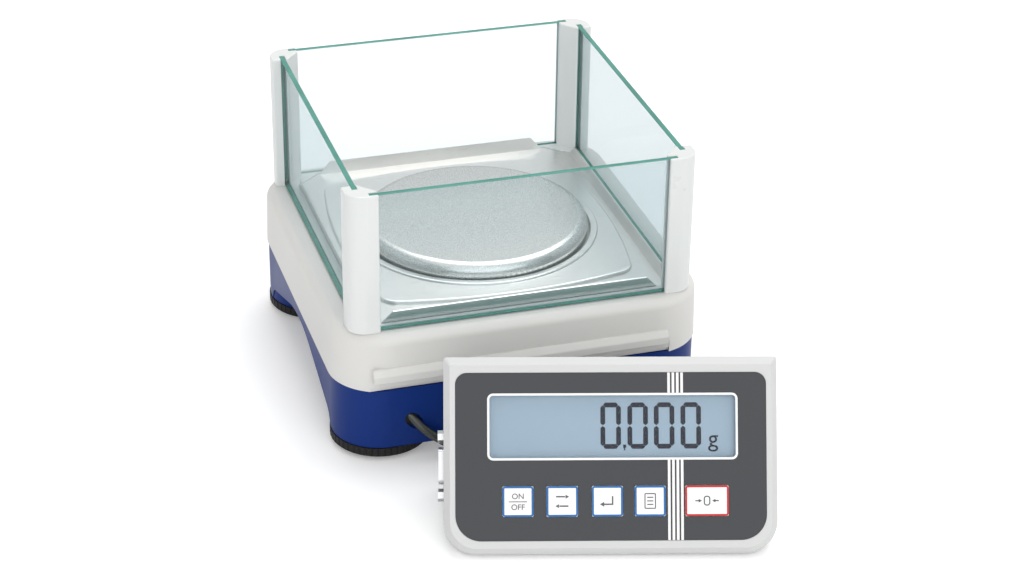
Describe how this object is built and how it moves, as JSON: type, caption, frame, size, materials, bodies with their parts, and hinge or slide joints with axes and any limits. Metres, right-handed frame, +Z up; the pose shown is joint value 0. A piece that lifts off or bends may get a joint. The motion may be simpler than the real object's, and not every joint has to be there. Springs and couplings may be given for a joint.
{
  "type": "precision balance with glass draught shield",
  "caption": "Laboratory precision balance with a low glass draught shield, round steel pan, levelling feet and a separate tilted display unit on a cable.",
  "frame": {"origin": "centre of the bounding box in plan, without the cable, at the height of the surface it stands on", "axes": "+Z up, -Y towards the person who reads the display, +X to that person's right"},
  "size_m": [0.177, 0.3095, 0.1314],
  "materials": {
    "base_blue": "gloss",
    "cover_grey": "satin",
    "foot_black": "satin",
    "plated_steel": "satin",
    "rubber_black": "matte",
    "post_grey": "satin",
    "pane_glass": "polished",
    "stainless": "satin",
    "aluminium_raw": "satin",
    "brass_insert": "satin",
    "board_green": "satin",
    "display_grey": "satin",
    "panel_dark": "satin",
    "window_clear": "polished",
    "lcd_blue": "gloss",
    "key_grey": "satin",
    "battery_wrap": "gloss",
    "connector_metal": "satin",
    "plastic_black": "satin",
    "cable_jacket": "satin"
  },
  "bodies": {
    "housing": {"base_housing": "base_blue", "top_cover": "cover_grey", "housing_screws": "plated_steel", "foot_inserts": "brass_insert", "cable_grommet": "rubber_black", "level_cup": "base_blue", "level_vial": "window_clear", "load_cell": "aluminium_raw", "load_cell_spacer": "aluminium_raw", "overload_stop": "plated_steel", "pan_carrier": "aluminium_raw", "carrier_buffers": "rubber_black", "main_board": "board_green", "display_front": "display_grey", "display_overlay": "panel_dark", "display_window": "window_clear", "lcd_panel": "lcd_blue", "display_board": "board_green", "key_switches": "plastic_black", "display_rear": "display_grey", "battery": "battery_wrap", "battery_clip": "plastic_black", "serial_socket": "connector_metal", "serial_standoffs": "plated_steel", "cable_socket": "plastic_black", "cable_plug": "plastic_black", "display_feet": "rubber_black", "display_screws": "plated_steel", "cable_lead": "cable_jacket", "cable_coil": "cable_jacket", "cable_tail": "cable_jacket"},
    "shield": {"shield_post_fl": "post_grey", "shield_post_fr": "post_grey", "shield_post_bl": "post_grey", "shield_post_br": "post_grey", "shield_pane_front": "pane_glass", "shield_pane_rear": "pane_glass", "shield_pane_left": "pane_glass", "shield_pane_right": "pane_glass", "shield_frame": "post_grey"},
    "tray": {"shield_tray": "stainless"},
    "pan": {"weighing_pan": "stainless"},
    "battery_door": {"battery_cover": "display_grey"},
    "foot_base_fl": {"foot_pad_fl": "rubber_black"},
    "foot_screw_fl": {"foot_wheel_fl": "foot_black", "foot_stud_fl": "plated_steel"},
    "foot_base_fr": {"foot_pad_fr": "rubber_black"},
    "foot_screw_fr": {"foot_wheel_fr": "foot_black", "foot_stud_fr": "plated_steel"},
    "foot_base_bl": {"foot_pad_bl": "rubber_black"},
    "foot_screw_bl": {"foot_wheel_bl": "foot_black", "foot_stud_bl": "plated_steel"},
    "foot_base_br": {"foot_pad_br": "rubber_black"},
    "foot_screw_br": {"foot_wheel_br": "foot_black", "foot_stud_br": "plated_steel"},
    "button_1": {"key_1": "key_grey"},
    "button_2": {"key_2": "key_grey"},
    "button_3": {"key_3": "key_grey"},
    "button_4": {"key_4": "key_grey"},
    "button_5": {"key_5": "key_grey"}
  },
  "joints": [
    {"name": "shield_lift", "type": "slide", "parent": "housing", "child": "shield", "axis": [0, 0, 1], "range_m": [0, 0.08]},
    {"name": "tray_lift", "type": "slide", "parent": "housing", "child": "tray", "axis": [0, 0, 1], "range_m": [0, 0.06]},
    {"name": "pan_lift", "type": "slide", "parent": "housing", "child": "pan", "axis": [0, 0, 1], "range_m": [0, 0.06]},
    {"name": "battery_door_slide", "type": "slide", "parent": "housing", "child": "battery_door", "axis": [0.2622, 0.965, 0], "range_m": [0, 0.01]},
    {"name": "foot_height_fl", "type": "slide", "parent": "housing", "child": "foot_base_fl", "axis": [0, 0, -1], "range_m": [0, 0.0025]},
    {"name": "foot_turn_fl", "type": "hinge", "parent": "foot_base_fl", "child": "foot_screw_fl", "pos_m": [-0.06528, -0.01674, 0], "axis": [0, 0, -1], "range_deg": [0, 725]},
    {"name": "foot_height_fr", "type": "slide", "parent": "housing", "child": "foot_base_fr", "axis": [0, 0, -1], "range_m": [0, 0.0025]},
    {"name": "foot_turn_fr", "type": "hinge", "parent": "foot_base_fr", "child": "foot_screw_fr", "pos_m": [0.06191, -0.01674, 0], "axis": [0, 0, -1], "range_deg": [0, 725]},
    {"name": "foot_height_bl", "type": "slide", "parent": "housing", "child": "foot_base_bl", "axis": [0, 0, -1], "range_m": [0, 0.0025]},
    {"name": "foot_turn_bl", "type": "hinge", "parent": "foot_base_bl", "child": "foot_screw_bl", "pos_m": [-0.06528, 0.11526, 0], "axis": [0, 0, -1], "range_deg": [0, 725]},
    {"name": "foot_height_br", "type": "slide", "parent": "housing", "child": "foot_base_br", "axis": [0, 0, -1], "range_m": [0, 0.0025]},
    {"name": "foot_turn_br", "type": "hinge", "parent": "foot_base_br", "child": "foot_screw_br", "pos_m": [0.06191, 0.11526, 0], "axis": [0, 0, -1], "range_deg": [0, 725]},
    {"name": "press_1", "type": "slide", "parent": "housing", "child": "button_1", "axis": [0.2247, 0.8272, -0.515], "range_m": [0, 0.0005], "stiffness_N_per_m": 3000, "springref_m": -0.0004},
    {"name": "press_2", "type": "slide", "parent": "housing", "child": "button_2", "axis": [0.2247, 0.8272, -0.515], "range_m": [0, 0.0005], "stiffness_N_per_m": 3000, "springref_m": -0.0004},
    {"name": "press_3", "type": "slide", "parent": "housing", "child": "button_3", "axis": [0.2247, 0.8272, -0.515], "range_m": [0, 0.0005], "stiffness_N_per_m": 3000, "springref_m": -0.0004},
    {"name": "press_4", "type": "slide", "parent": "housing", "child": "button_4", "axis": [0.2247, 0.8272, -0.515], "range_m": [0, 0.0005], "stiffness_N_per_m": 3000, "springref_m": -0.0004},
    {"name": "press_5", "type": "slide", "parent": "housing", "child": "button_5", "axis": [0.2247, 0.8272, -0.515], "range_m": [0, 0.0005], "stiffness_N_per_m": 3000, "springref_m": -0.0004}
  ],
  "couplings": [
    {"joint": "foot_turn_fl", "follows": "foot_height_fl", "rad_per_m": 5026.5},
    {"joint": "foot_turn_fr", "follows": "foot_height_fr", "rad_per_m": 5026.5},
    {"joint": "foot_turn_bl", "follows": "foot_height_bl", "rad_per_m": 5026.5},
    {"joint": "foot_turn_br", "follows": "foot_height_br", "rad_per_m": 5026.5}
  ]
}
